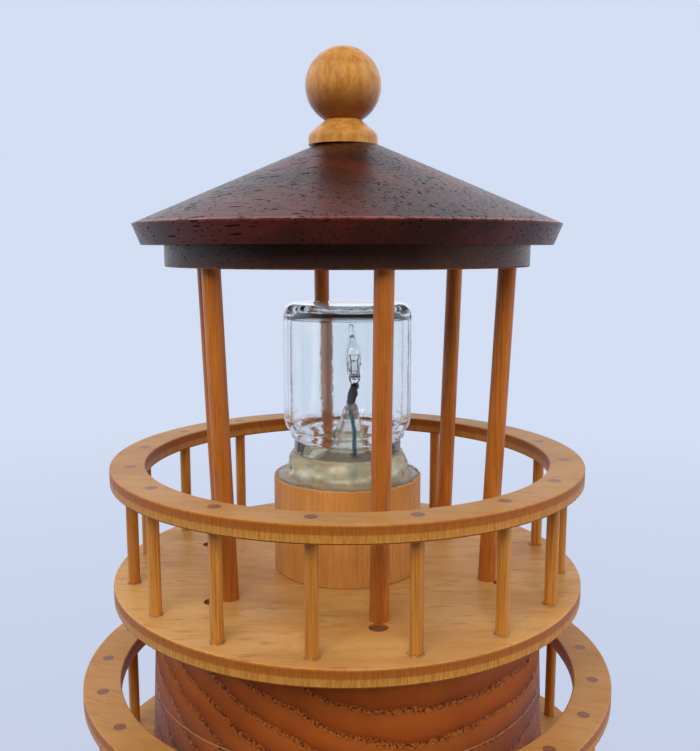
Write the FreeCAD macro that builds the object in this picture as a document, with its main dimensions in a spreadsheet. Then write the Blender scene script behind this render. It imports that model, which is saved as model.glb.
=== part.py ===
import FreeCAD, Part
import math
import os
import Sketcher
from FreeCAD import Placement, Rotation, Vector

# Wooden model lighthouse with a lamp in its lantern room.
# Millimetres and degrees. +Z is up, the origin is the middle of the underside, and the front is -Y.
# Angles around the tower are counted from the front, positive towards +X.

SIZES = {
    # Base
    "felt_thickness": 2,
    "felt_radius": 158,
    "plinth_radius": 166,
    "plinth_thickness": 24,
    "plinth_edge_rounding": 8,
    "wire_bore_radius": 7,
    "wire_channel_width": 12,
    "wire_channel_depth": 16,
    # Tower of stacked boards
    "board_thickness": 50,
    "board_count": 8,
    "tower_top_radius": 107.4,
    "watch_room_taper": 0.044,
    "shoulder_drop": 119,
    "shoulder_radius": 118,
    "lower_taper": 0.115,
    # Plywood decks and rails
    "ply_thickness": 9,
    "ply_edge_rounding": 0.8,
    "rail_top_above_deck": 64,
    "baluster_radius": 3.15,
    "baluster_sink": 5,
    "glue_clearance": 0.05,
    "upper_deck_radius": 129.5,
    "upper_rail_inner_radius": 111,
    "upper_baluster_circle": 118.7,
    "upper_baluster_count": 16,
    "upper_baluster_phase": -7.6,
    "lower_deck_radius": 147.5,
    "lower_rail_inner_radius": 127.6,
    "lower_baluster_circle": 137.5,
    "lower_baluster_count": 22,
    "lower_baluster_phase": -5.5,
    # Lantern roof, which stands on six posts
    "post_radius": 4.75,
    "post_count": 6,
    "post_foot_circle": 80,
    "post_splay": 7,
    "post_phase": 11,
    "post_sink": 6,
    "locating_hole_circle": 88.7,
    "locating_hole_phase": 9.5,
    "locating_hole_depth": 1.5,
    "roof_plate_underside": 168.6,
    "roof_plate_thickness": 11.2,
    "roof_plate_radius": 97.7,
    "eave_underside_radius": 109.5,
    "eave_radius": 113.9,
    "eave_height": 10.8,
    "roof_flat_radius": 17,
    "roof_height": 52.8,
    # Finial, set slightly off the roof's centre
    "finial_offset": -2.2,
    "tenon_radius": 4.75,
    "tenon_length": 24,
    "finial_base_radius": 18.6,
    "finial_base_side": 5.5,
    "finial_base_height": 13.2,
    "finial_base_rounding": 4,
    "finial_neck_radius": 9.6,
    "finial_ball_height": 30.8,
    "finial_ball_radius": 20.2,
    # Lamp
    "pedestal_radius": 41.2,
    "pedestal_height": 53,
    "pedestal_edge_rounding": 0.8,
    "jar_radius": 35.4,
    "jar_neck_radius": 29.8,
    "jar_rim_radius": 31.4,
    "jar_wall": 4.2,
    "jar_floor": 5,
    "jar_height": 95.5,
    "jar_rim_height": 9,
    "jar_rim_slope": 2,
    "jar_neck_height": 21,
    "jar_shoulder_height": 33,
    "jar_corner_rounding": 6,
    "jar_glue_outer_radius": 40.4,
    "jar_glue_height": 8.5,
    "jar_glue_foot_height": 3.2,
    "jar_glue_slope": 1.5,
    "wire_glue_radius": 15,
    "wire_glue_height": 41,
    "bulb_offset": 1.8,
    "bulb_radius": 4,
    "bulb_wall": 0.5,
    "bulb_foot": 2,
    "bulb_bottom": 107,
    "bulb_straight": 18,
    "bulb_tip": 138,
    "bulb_tip_length": 5,
    "bulb_tip_radius": 1.2,
    "lead_radius": 0.3,
    "lead_spread": 1.5,
    "filament_height": 119,
    "sleeve_radius": 1.9,
    "sleeve_bottom": 92.5,
    "sleeve_top": 103.5,
    "wire_radius": 0.55,
    "wire_spacing": 1.3,
    # Cord inlet at the back of the plinth
    "grommet_radius": 5.5,
    "grommet_flange_radius": 7.4,
    "grommet_bore_radius": 3.2,
    "grommet_length": 14,
    "grommet_flange_thickness": 2.5,
    "grommet_recess": 0.2,
}

PLINTH_TOP = "(Sizes.felt_thickness + Sizes.plinth_thickness)"
TOWER_TOP = f"({PLINTH_TOP} + Sizes.board_count * Sizes.board_thickness)"
UPPER_DECK_TOP = f"({TOWER_TOP} + Sizes.ply_thickness)"
LOWER_DECK_BOTTOM = f"({TOWER_TOP} - Sizes.shoulder_drop)"
LOWER_DECK_TOP = f"({LOWER_DECK_BOTTOM} + Sizes.ply_thickness)"
RAIL_BOTTOM_ABOVE_DECK = "(Sizes.rail_top_above_deck - Sizes.ply_thickness)"
INLET_HEIGHT = "(Sizes.felt_thickness + 0.5 * Sizes.wire_channel_depth)"
POST_RING = ("Sizes.post_phase", "(360 / Sizes.post_count)")

document = FreeCAD.newDocument("lighthouse_lamp")
nodes = []


def fill_sheet():
    """Put every driving dimension in the sheet, under its own alias."""
    sheet = document.addObject("Spreadsheet::Sheet", "Sizes")
    for row, (alias, size) in enumerate(SIZES.items(), start=1):
        sheet.set(f"A{row}", alias)
        sheet.set(f"B{row}", str(size))
        sheet.setAlias(f"B{row}", alias)
    document.recompute()
    return sheet


sheet = fill_sheet()


def evaluate(formula):
    """Give the present number of a formula over the sheet."""
    return float(sheet.evalExpression(formula.replace("Sizes.", "")))


def keep(thing, label, level="0", across="0"):
    """Name a finished sub-part, put it at its level and list it for export."""
    thing.Label = label
    thing.setExpression("Placement.Base.x", across)
    thing.setExpression("Placement.Base.z", level)
    nodes.append(thing)
    return thing


# Helpers for sketched sub-parts

def new_body(name):
    return document.addObject("PartDesign::Body", f"{name}_body")


def origin_feature(body, role):
    return next(item for item in body.Origin.OriginFeatures if item.Role == role)


def new_sketch(body, name, role, height=None):
    """Start a sketch on one of the body's own planes, moved along its normal by height."""
    sketch = body.newObject("Sketcher::SketchObject", name)
    sketch.AttachmentSupport = [(origin_feature(body, role), "")]
    sketch.MapMode = "FlatFace"
    if height is not None:
        sketch.setExpression("AttachmentOffset.Base.z", height)
    return sketch


def bind(sketch, constraint, formula):
    """Add a driving constraint whose value follows a formula."""
    index = sketch.addConstraint(constraint)
    sketch.setExpression(f"Constraints[{index}]", formula)


def place_point(sketch, edge, end, across, up):
    """Hold one point of an edge at a place given by two formulas."""
    if across == "0":
        sketch.addConstraint(Sketcher.Constraint("PointOnObject", edge, end, -2))
    else:
        bind(sketch, Sketcher.Constraint("DistanceX", -1, 1, edge, end, evaluate(across)), across)
    if up == "0":
        sketch.addConstraint(Sketcher.Constraint("PointOnObject", edge, end, -1))
    else:
        bind(sketch, Sketcher.Constraint("DistanceY", -1, 1, edge, end, evaluate(up)), up)


def draw_circle(sketch, radius, across="0", up="0"):
    """Draw a circle whose radius and centre are formulas."""
    centre = Vector(evaluate(across), evaluate(up), 0)
    edge = sketch.addGeometry(Part.Circle(centre, Vector(0, 0, 1), evaluate(radius)), False)
    bind(sketch, Sketcher.Constraint("Radius", edge, evaluate(radius)), radius)
    place_point(sketch, edge, 3, across, up)


def draw_outline(sketch, corners):
    """Draw a closed outline of straight runs through corners given as pairs of formulas."""
    points = [Vector(evaluate(across), evaluate(up), 0) for across, up in corners]
    for index, point in enumerate(points):
        following = points[(index + 1) % len(points)]
        sketch.addGeometry(Part.LineSegment(point, following), False)
    for index, (across, up) in enumerate(corners):
        before = (index - 1) % len(corners)
        sketch.addConstraint(Sketcher.Constraint("Coincident", before, 2, index, 1))
        place_point(sketch, index, 1, across, up)


def pad(body, name, sketch, length):
    feature = body.newObject("PartDesign::Pad", name)
    feature.Profile = sketch
    feature.setExpression("Length", length)
    sketch.Visibility = False
    document.recompute()
    return feature


def pocket(body, name, sketch, depth=None, against_normal=True):
    """Cut a sketch into the body, right through where no depth is given."""
    before = body.Shape.Volume
    feature = body.newObject("PartDesign::Pocket", name)
    feature.Profile = sketch
    feature.Reversed = not against_normal
    if depth is None:
        feature.Type = "ThroughAll"
    else:
        feature.setExpression("Length", depth)
    document.recompute()
    if body.Shape.Volume >= before:
        raise RuntimeError(f"{name} cuts nothing")
    return feature


def revolve(body, name, corners):
    """Turn an outline of (radius, height) corners about the vertical axis."""
    sketch = new_sketch(body, f"{name}_outline", "XZ_Plane")
    draw_outline(sketch, corners)
    feature = body.newObject("PartDesign::Revolution", name)
    feature.Profile = sketch
    feature.ReferenceAxis = (sketch, ["V_Axis"])
    feature.Angle = 360
    document.recompute()
    return feature


def repeat_around(body, feature, count):
    """Repeat a cut around the vertical axis."""
    pattern = body.newObject("PartDesign::PolarPattern", f"{feature.Name}_pattern")
    pattern.Originals = [feature]
    pattern.Axis = (origin_feature(body, "Z_Axis"), [""])
    pattern.Angle = 360
    pattern.setExpression("Occurrences", count)
    body.Tip = pattern
    document.recompute()


def round_edges(body, name, rounding, rims):
    """Round the circular edges found at each (radius, height) pair of formulas."""
    base = body.Tip
    wanted = [(evaluate(radius), evaluate(height)) for radius, height in rims]
    names = []
    for number, edge in enumerate(base.Shape.Edges, start=1):
        if not isinstance(edge.Curve, Part.Circle):
            continue
        for radius, height in wanted:
            if abs(edge.Curve.Radius - radius) < 0.01 and abs(edge.Curve.Center.z - height) < 0.01:
                names.append(f"Edge{number}")
    if len(names) < len(wanted):
        raise RuntimeError(f"{name} finds {len(names)} of {len(wanted)} edges")
    feature = body.newObject("PartDesign::Fillet", name)
    feature.Base = (base, names)
    feature.setExpression("Radius", rounding)
    document.recompute()


def around(circle, phase, step, index):
    """Formulas for the place of one of a ring of pieces."""
    angle = f"({phase} + {index} * {step})"
    return f"{circle} * sin({angle})", f"-{circle} * cos({angle})"


def drill_ring(body, name, radius, circle, phase, count, top, depth=None):
    """Drill a ring of equal holes down from the face at height top."""
    sketch = new_sketch(body, f"{name}_circle", "XY_Plane", top)
    across, along = around(circle, phase, f"(360 / {count})", 0)
    draw_circle(sketch, radius, across, along)
    hole = pocket(body, name, sketch, depth)
    repeat_around(body, hole, count)


def add_rod(name, radius, height, across="0", along="0", level="0"):
    """A plain round rod standing at a place given by formulas."""
    rod = document.addObject("Part::Cylinder", name)
    rod.setExpression("Radius", radius)
    rod.setExpression("Height", height)
    rod.setExpression("Placement.Base.x", across)
    rod.setExpression("Placement.Base.y", along)
    rod.setExpression("Placement.Base.z", level)
    return rod


# Base: felt, plinth and cord inlet

def make_base_felt():
    body = new_body("base_felt")
    sketch = new_sketch(body, "felt_outline", "XY_Plane")
    draw_circle(sketch, "Sizes.felt_radius")
    pad(body, "felt_disc", sketch, "Sizes.felt_thickness")
    keep(body, "base_felt")


def make_base_plinth():
    """Round board with a wire channel in its underside, open to the back."""
    body = new_body("base_plinth")
    sketch = new_sketch(body, "plinth_outline", "XY_Plane")
    draw_circle(sketch, "Sizes.plinth_radius")
    pad(body, "plinth_disc", sketch, "Sizes.plinth_thickness")
    round_edges(body, "plinth_rounding", "Sizes.plinth_edge_rounding",
                [("Sizes.plinth_radius", "Sizes.plinth_thickness")])
    bore = new_sketch(body, "plinth_bore_circle", "XY_Plane", "Sizes.plinth_thickness")
    draw_circle(bore, "Sizes.wire_bore_radius")
    pocket(body, "plinth_bore", bore)
    channel = new_sketch(body, "plinth_channel_outline", "XY_Plane", "Sizes.wire_channel_depth")
    half = "0.5 * Sizes.wire_channel_width"
    far = "(Sizes.plinth_radius - Sizes.grommet_length)"
    draw_outline(channel, [(f"-{half}", "0"), (half, "0"), (half, far), (f"-{half}", far)])
    pocket(body, "plinth_channel", channel)
    flange_depth = "Sizes.grommet_flange_thickness + Sizes.grommet_recess"
    bush_depth = "Sizes.grommet_length + Sizes.grommet_flange_thickness"
    for name, radius, depth in (("plinth_inlet", "Sizes.grommet_radius", bush_depth),
                                ("plinth_inlet_seat", "Sizes.grommet_flange_radius", flange_depth)):
        inlet = new_sketch(body, f"{name}_circle", "XZ_Plane", "-Sizes.plinth_radius")
        draw_circle(inlet, f"{radius} + Sizes.glue_clearance", "0", "0.5 * Sizes.wire_channel_depth")
        pocket(body, name, inlet, depth, against_normal=False)
    keep(body, "base_plinth", "Sizes.felt_thickness")


def make_cord_grommet():
    """Rubber bush in the back of the plinth, where the supply cord comes in."""
    body = new_body("cord_grommet")
    revolve(body, "grommet_turning", [
        ("Sizes.grommet_bore_radius", "0"),
        ("Sizes.grommet_radius", "0"),
        ("Sizes.grommet_radius", "Sizes.grommet_length"),
        ("Sizes.grommet_flange_radius", "Sizes.grommet_length"),
        ("Sizes.grommet_flange_radius", "Sizes.grommet_length + Sizes.grommet_flange_thickness"),
        ("Sizes.grommet_bore_radius", "Sizes.grommet_length + Sizes.grommet_flange_thickness"),
    ])
    body.Placement = Placement(Vector(0, 0, 0), Rotation(Vector(1, 0, 0), -90))
    whole_length = "(Sizes.grommet_length + Sizes.grommet_flange_thickness)"
    body.setExpression("Placement.Base.y", f"Sizes.plinth_radius - {whole_length} - Sizes.grommet_recess")
    keep(body, "cord_grommet", INLET_HEIGHT)


# Tower: a stack of round boards around a wire bore

def watch_room_radius(drop):
    return f"(Sizes.tower_top_radius + Sizes.watch_room_taper * ({drop}))"


def lower_tower_radius(drop):
    return f"(Sizes.shoulder_radius + Sizes.lower_taper * (({drop}) - Sizes.shoulder_drop))"


def make_tower_board(index):
    """One turned board; drop is measured down from the top of the tower."""
    top_drop = f"({index} * Sizes.board_thickness)"
    foot_drop = f"({index + 1} * Sizes.board_thickness)"
    shoulder_level = f"({foot_drop} - Sizes.shoulder_drop)"
    if evaluate(foot_drop) <= evaluate("Sizes.shoulder_drop"):
        side = [(watch_room_radius(foot_drop), "0"),
                (watch_room_radius(top_drop), "Sizes.board_thickness")]
    elif evaluate(top_drop) >= evaluate("Sizes.shoulder_drop"):
        side = [(lower_tower_radius(foot_drop), "0"),
                (lower_tower_radius(top_drop), "Sizes.board_thickness")]
    else:
        side = [(lower_tower_radius(foot_drop), "0"),
                (lower_tower_radius("Sizes.shoulder_drop"), shoulder_level),
                (watch_room_radius("Sizes.shoulder_drop"), shoulder_level),
                (watch_room_radius(top_drop), "Sizes.board_thickness")]
    name = f"tower_board_{index + 1}"
    body = new_body(name)
    bore = "Sizes.wire_bore_radius"
    revolve(body, f"{name}_turning", [(bore, "0")] + side + [(bore, "Sizes.board_thickness")])
    keep(body, name, f"{TOWER_TOP} - {foot_drop}")


def make_tower():
    for index in range(int(evaluate("Sizes.board_count"))):
        make_tower_board(index)


# Galleries: plywood decks and rails joined by round balusters

def make_deck(name, radius, bore, top_level, circle, phase, count):
    """Plywood deck with a blind hole for each baluster."""
    body = new_body(name)
    sketch = new_sketch(body, f"{name}_outline", "XY_Plane")
    draw_circle(sketch, radius)
    draw_circle(sketch, bore)
    pad(body, f"{name}_board", sketch, "Sizes.ply_thickness")
    round_edges(body, f"{name}_rounding", "Sizes.ply_edge_rounding",
                [(radius, "0"), (radius, "Sizes.ply_thickness")])
    drill_ring(body, f"{name}_baluster_hole", "Sizes.baluster_radius + Sizes.glue_clearance",
               circle, phase, count, "Sizes.ply_thickness", "Sizes.baluster_sink")
    keep(body, name, f"{top_level} - Sizes.ply_thickness")
    return body


def make_rail(name, radius, inner_radius, deck_top, circle, phase, count):
    """Plywood ring with a through hole for each baluster."""
    body = new_body(name)
    sketch = new_sketch(body, f"{name}_outline", "XY_Plane")
    draw_circle(sketch, radius)
    draw_circle(sketch, inner_radius)
    pad(body, f"{name}_board", sketch, "Sizes.ply_thickness")
    rims = [(radius, "0"), (radius, "Sizes.ply_thickness"),
            (inner_radius, "0"), (inner_radius, "Sizes.ply_thickness")]
    round_edges(body, f"{name}_rounding", "Sizes.ply_edge_rounding", rims)
    drill_ring(body, f"{name}_baluster_hole", "Sizes.baluster_radius + Sizes.glue_clearance",
               circle, phase, count, "Sizes.ply_thickness")
    keep(body, name, f"{deck_top} + {RAIL_BOTTOM_ABOVE_DECK}")


def make_baluster(name, deck_top, circle, phase, count, index):
    """A dowel from its blind hole in the deck up to the rail's top face."""
    across, along = around(circle, phase, f"(360 / {count})", index)
    return add_rod(name, "Sizes.baluster_radius", "Sizes.rail_top_above_deck + Sizes.baluster_sink",
                   across, along, f"{deck_top} - Sizes.baluster_sink")


def make_upper_gallery():
    ring = ("Sizes.upper_baluster_circle", "Sizes.upper_baluster_phase", "Sizes.upper_baluster_count")
    deck = make_deck("upper_deck", "Sizes.upper_deck_radius", "Sizes.wire_bore_radius",
                     UPPER_DECK_TOP, *ring)
    drill_ring(deck, "locating_hole", "Sizes.post_radius", "Sizes.locating_hole_circle",
               "Sizes.locating_hole_phase", "Sizes.post_count", "Sizes.ply_thickness",
               "Sizes.locating_hole_depth")
    make_rail("upper_rail", "Sizes.upper_deck_radius", "Sizes.upper_rail_inner_radius",
              UPPER_DECK_TOP, *ring)
    for index in range(int(evaluate("Sizes.upper_baluster_count"))):
        name = f"upper_baluster_{index + 1:02d}"
        rod = make_baluster(name, UPPER_DECK_TOP, *ring, index)
        rod.Label = name
        nodes.append(rod)


def make_lower_gallery():
    ring = ("Sizes.lower_baluster_circle", "Sizes.lower_baluster_phase", "Sizes.lower_baluster_count")
    bore = watch_room_radius("Sizes.shoulder_drop") + " + Sizes.glue_clearance"
    make_deck("lower_deck", "Sizes.lower_deck_radius", bore, LOWER_DECK_TOP, *ring)
    make_rail("lower_rail", "Sizes.lower_deck_radius", "Sizes.lower_rail_inner_radius",
              LOWER_DECK_TOP, *ring)
    rods = []
    for index in range(int(evaluate("Sizes.lower_baluster_count"))):
        rods.append(make_baluster(f"lower_rod_{index + 1:02d}", LOWER_DECK_TOP, *ring, index))
    group = document.addObject("Part::Compound", "lower_balusters")
    group.Links = rods
    keep(group, "lower_balusters")


# Lantern roof: six posts, a plate, a cone and a finial

def splay_outwards(feature, index):
    """Slant a pad or pocket outwards, as the posts lean, while its ends stay level."""
    across, along = around("Sizes.post_splay", *POST_RING, index)
    feature.UseCustomVector = True
    feature.AlongSketchNormal = True
    feature.Reversed = False
    feature.setExpression("Direction.x", across)
    feature.setExpression("Direction.y", along)
    feature.setExpression("Direction.z", "Sizes.roof_plate_underside")
    document.recompute()


def make_posts():
    """Posts that stand on the deck and lean out towards their sockets in the roof plate."""
    for index in range(int(evaluate("Sizes.post_count"))):
        name = f"roof_post_{index + 1}"
        body = new_body(name)
        sketch = new_sketch(body, f"{name}_foot", "XY_Plane")
        across, along = around("Sizes.post_foot_circle", *POST_RING, index)
        draw_circle(sketch, "Sizes.post_radius", across, along)
        rod = pad(body, f"{name}_rod", sketch, "Sizes.roof_plate_underside + Sizes.post_sink")
        splay_outwards(rod, index)
        keep(body, name, UPPER_DECK_TOP)


def make_roof_plate():
    """Round plate with a slanted socket for each post in its underside."""
    body = new_body("roof_plate")
    sketch = new_sketch(body, "plate_outline", "XY_Plane")
    draw_circle(sketch, "Sizes.roof_plate_radius")
    pad(body, "plate_board", sketch, "Sizes.roof_plate_thickness")
    across, along = around("(Sizes.post_foot_circle + Sizes.post_splay)", *POST_RING, 0)
    socket = new_sketch(body, "post_socket_circle", "XY_Plane")
    draw_circle(socket, "Sizes.post_radius + Sizes.glue_clearance", across, along)
    cut = pocket(body, "post_socket", socket, "Sizes.post_sink", against_normal=False)
    splay_outwards(cut, 0)
    repeat_around(body, cut, "Sizes.post_count")
    round_edges(body, "plate_rounding", "Sizes.ply_edge_rounding", [("Sizes.roof_plate_radius", "0")])
    keep(body, "roof_plate", f"{UPPER_DECK_TOP} + Sizes.roof_plate_underside")


def make_roof_cone():
    """Turned cone whose eave is cut back underneath, bored for the finial."""
    body = new_body("roof_cone")
    revolve(body, "cone_turning", [
        ("0", "0"),
        ("Sizes.eave_underside_radius", "0"),
        ("Sizes.eave_radius", "Sizes.eave_height"),
        ("Sizes.roof_flat_radius", "Sizes.roof_height"),
        ("0", "Sizes.roof_height"),
    ])
    bore = new_sketch(body, "finial_bore_circle", "XY_Plane", "Sizes.roof_height")
    draw_circle(bore, "Sizes.tenon_radius + Sizes.glue_clearance", "Sizes.finial_offset")
    pocket(body, "finial_bore", bore)
    level = f"{UPPER_DECK_TOP} + Sizes.roof_plate_underside + Sizes.roof_plate_thickness"
    keep(body, "roof_cone", level)


def make_finial():
    """Ball on a sloping base, turned in one piece with the tenon below it."""
    body = new_body("finial")
    ball_seat = "Sizes.finial_ball_height - 0.75 * Sizes.finial_ball_radius"
    revolve(body, "finial_turning", [
        ("0", "-Sizes.tenon_length"),
        ("Sizes.tenon_radius", "-Sizes.tenon_length"),
        ("Sizes.tenon_radius", "0"),
        ("Sizes.finial_base_radius", "0"),
        ("Sizes.finial_base_radius", "Sizes.finial_base_side"),
        ("Sizes.finial_neck_radius", "Sizes.finial_base_height"),
        ("Sizes.finial_neck_radius", ball_seat),
        ("0", ball_seat),
    ])
    round_edges(body, "finial_base_edge", "Sizes.finial_base_rounding",
                [("Sizes.finial_base_radius", "Sizes.finial_base_side")])
    ball = document.addObject("Part::Sphere", "finial_ball")
    ball.setExpression("Radius", "Sizes.finial_ball_radius")
    ball.setExpression("Placement.Base.z", "Sizes.finial_ball_height")
    whole = document.addObject("Part::Fuse", "finial_whole")
    whole.Base = body
    whole.Tool = ball
    level = (f"{UPPER_DECK_TOP} + Sizes.roof_plate_underside + Sizes.roof_plate_thickness"
             " + Sizes.roof_height")
    keep(whole, "finial", level, "Sizes.finial_offset")


# Lamp: pedestal, upturned jar, small bulb and its wires

def make_lamp_pedestal():
    body = new_body("lamp_pedestal")
    sketch = new_sketch(body, "pedestal_outline", "XY_Plane")
    draw_circle(sketch, "Sizes.pedestal_radius")
    draw_circle(sketch, "Sizes.wire_bore_radius")
    pad(body, "pedestal_block", sketch, "Sizes.pedestal_height")
    round_edges(body, "pedestal_rounding", "Sizes.pedestal_edge_rounding",
                [("Sizes.pedestal_radius", "0"), ("Sizes.pedestal_radius", "Sizes.pedestal_height")])
    keep(body, "lamp_pedestal", UPPER_DECK_TOP)


def make_glass_jar():
    """Upturned jar: rim below, then neck, shoulder and a straight wall up to its floor."""
    body = new_body("glass_jar")
    wall = "Sizes.jar_wall"
    inside = "(Sizes.jar_height - Sizes.jar_floor)"
    neck_bore = f"(Sizes.jar_neck_radius - {wall})"
    body_bore = f"(Sizes.jar_radius - {wall})"
    revolve(body, "jar_turning", [
        (neck_bore, "0"),
        ("Sizes.jar_rim_radius", "0"),
        ("Sizes.jar_rim_radius", "Sizes.jar_rim_height"),
        ("Sizes.jar_neck_radius", "Sizes.jar_rim_height + Sizes.jar_rim_slope"),
        ("Sizes.jar_neck_radius", "Sizes.jar_neck_height"),
        ("Sizes.jar_radius", "Sizes.jar_shoulder_height"),
        ("Sizes.jar_radius", "Sizes.jar_height"),
        ("0", "Sizes.jar_height"),
        ("0", inside),
        (body_bore, inside),
        (body_bore, "Sizes.jar_shoulder_height"),
        (neck_bore, "Sizes.jar_neck_height"),
    ])
    round_edges(body, "jar_rounding", "Sizes.jar_corner_rounding",
                [("Sizes.jar_radius", "Sizes.jar_height")])
    keep(body, "glass_jar", f"{UPPER_DECK_TOP} + Sizes.pedestal_height")


def make_jar_glue():
    """Bead of clear glue around the jar's rim, spread over the pedestal's top."""
    body = new_body("jar_glue")
    rim = "(Sizes.jar_rim_radius + Sizes.glue_clearance)"
    revolve(body, "bead_turning", [
        (rim, "0"),
        ("Sizes.jar_glue_outer_radius", "0"),
        ("Sizes.jar_glue_outer_radius - Sizes.jar_glue_slope", "Sizes.jar_glue_foot_height"),
        (f"{rim} + Sizes.jar_glue_slope", "Sizes.jar_glue_height"),
        (rim, "Sizes.jar_glue_height"),
    ])
    keep(body, "jar_glue", f"{UPPER_DECK_TOP} + Sizes.pedestal_height")


def make_wire_glue():
    """Cone of clear glue that holds the bulb's wires upright, bored for the wires."""
    body = new_body("wire_glue")
    bore = "(Sizes.wire_spacing + 2 * Sizes.wire_radius)"
    height = "Sizes.wire_glue_height"
    revolve(body, "cone_of_glue_turning", [
        (bore, "0"),
        ("Sizes.wire_glue_radius", "0"),
        ("0.62 * Sizes.wire_glue_radius", f"0.5 * {height}"),
        (f"{bore} + 1", f"{height} - Sizes.wire_radius"),
        (bore, f"{height} - Sizes.wire_radius"),
    ])
    keep(body, "wire_glue", f"{UPPER_DECK_TOP} + Sizes.pedestal_height", "Sizes.bulb_offset")


def make_bulb_glass():
    """Thin clear envelope, straight below and drawn to a small tip above."""
    body = new_body("bulb_glass")
    wall = "Sizes.bulb_wall"
    straight = "(Sizes.bulb_bottom + Sizes.bulb_straight)"
    revolve(body, "bulb_turning", [
        ("0", "Sizes.bulb_bottom"),
        ("Sizes.bulb_radius", "Sizes.bulb_bottom"),
        ("Sizes.bulb_radius", straight),
        ("Sizes.bulb_tip_radius", "Sizes.bulb_tip - Sizes.bulb_tip_length"),
        ("Sizes.bulb_tip_radius", "Sizes.bulb_tip"),
        ("0", "Sizes.bulb_tip"),
        ("0", f"Sizes.bulb_tip - Sizes.bulb_tip_length - 2 * {wall}"),
        (f"Sizes.bulb_radius - {wall}", straight),
        (f"Sizes.bulb_radius - {wall}", "Sizes.bulb_bottom + Sizes.bulb_foot"),
        ("0", "Sizes.bulb_bottom + Sizes.bulb_foot"),
    ])
    keep(body, "bulb_glass", UPPER_DECK_TOP, "Sizes.bulb_offset")


def make_bulb_leads():
    """Two stiff leads above and below the bulb's foot, joined at the top by the filament."""
    foot_top = "(Sizes.bulb_bottom + Sizes.bulb_foot)"
    rods = []
    for side in ("-", ""):
        across = f"{side}Sizes.lead_spread"
        rods.append(add_rod("inner_lead", "Sizes.lead_radius", f"Sizes.filament_height - {foot_top}",
                            across, "0", f"{UPPER_DECK_TOP} + {foot_top}"))
        rods.append(add_rod("outer_lead", "Sizes.lead_radius", "Sizes.bulb_bottom - Sizes.sleeve_top",
                            across, "0", f"{UPPER_DECK_TOP} + Sizes.sleeve_top"))
    bridge = document.addObject("Part::Cylinder", "filament_bridge")
    bridge.Placement = Placement(Vector(0, 0, 0), Rotation(Vector(0, 1, 0), 90))
    bridge.setExpression("Radius", "Sizes.lead_radius")
    bridge.setExpression("Height", "2 * Sizes.lead_spread + 2 * Sizes.lead_radius")
    bridge.setExpression("Placement.Base.x", "-Sizes.lead_spread - Sizes.lead_radius")
    bridge.setExpression("Placement.Base.z", f"{UPPER_DECK_TOP} + Sizes.filament_height - Sizes.lead_radius")
    whole = document.addObject("Part::MultiFuse", "bulb_filament")
    whole.Shapes = rods + [bridge]
    keep(whole, "bulb_filament", "0", "Sizes.bulb_offset")


def make_bulb_sleeve():
    """Black sleeve over the joint between the bulb's leads and the wires."""
    rod = add_rod("bulb_sleeve", "Sizes.sleeve_radius", "Sizes.sleeve_top - Sizes.sleeve_bottom")
    keep(rod, "bulb_sleeve", f"{UPPER_DECK_TOP} + Sizes.sleeve_bottom", "Sizes.bulb_offset")


def make_lamp_wires():
    """Two wires down the bore of the tower, bent back under the plinth to the cord inlet."""
    top = evaluate(f"{UPPER_DECK_TOP} + Sizes.sleeve_bottom")
    inlet = evaluate(INLET_HEIGHT)
    bend = evaluate("0.9 * Sizes.wire_bore_radius")
    back = evaluate("Sizes.plinth_radius")
    cut_corner = bend - bend * math.sqrt(0.5)
    middle = Vector(0, cut_corner, inlet + cut_corner)
    wires = []
    for side in (-1, 1):
        offset = Vector(side * evaluate("0.5 * Sizes.wire_spacing"), 0, 0)
        corner_start = Vector(0, 0, inlet + bend) + offset
        corner_end = Vector(0, bend, inlet) + offset
        down = Part.makeLine(Vector(0, 0, top) + offset, corner_start)
        corner = Part.Arc(corner_start, middle + offset, corner_end).toShape()
        out = Part.makeLine(corner_end, Vector(0, back, inlet) + offset)
        start = Part.Circle(Vector(0, 0, top) + offset, Vector(0, 0, 1), evaluate("Sizes.wire_radius"))
        route = Part.Wire([down, corner, out])
        wires.append(route.makePipeShell([Part.Wire(start.toShape())], True, False))
    feature = document.addObject("Part::Feature", "lamp_wires")
    feature.Shape = Part.makeCompound(wires)
    keep(feature, "lamp_wires", "0", "Sizes.bulb_offset")


def check_document():
    """Stop where any object failed or any sub-part has no sound shape."""
    for item in document.Objects:
        if "Invalid" in item.State or "Error" in item.State:
            raise RuntimeError(f"{item.Label} failed: {item.State}")
    for node in nodes:
        if node.Shape.isNull() or not node.Shape.isValid():
            raise RuntimeError(f"{node.Label} has no valid shape")


def export_nodes():
    os.makedirs("parts", exist_ok=True)
    for node in nodes:
        node.Shape.exportStep(f"parts/{node.Label}.step")
        print(node.Label, len(node.Shape.Solids), round(node.Shape.Volume, 1))


make_base_felt()
make_base_plinth()
make_cord_grommet()
make_tower()
make_upper_gallery()
make_lower_gallery()
make_posts()
make_roof_plate()
make_roof_cone()
make_finial()
make_lamp_pedestal()
make_glass_jar()
make_jar_glue()
make_wire_glue()
make_bulb_glass()
make_bulb_leads()
make_bulb_sleeve()
make_lamp_wires()
document.recompute()
check_document()
export_nodes()
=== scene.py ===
import math

import bpy
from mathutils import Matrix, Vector, noise


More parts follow.
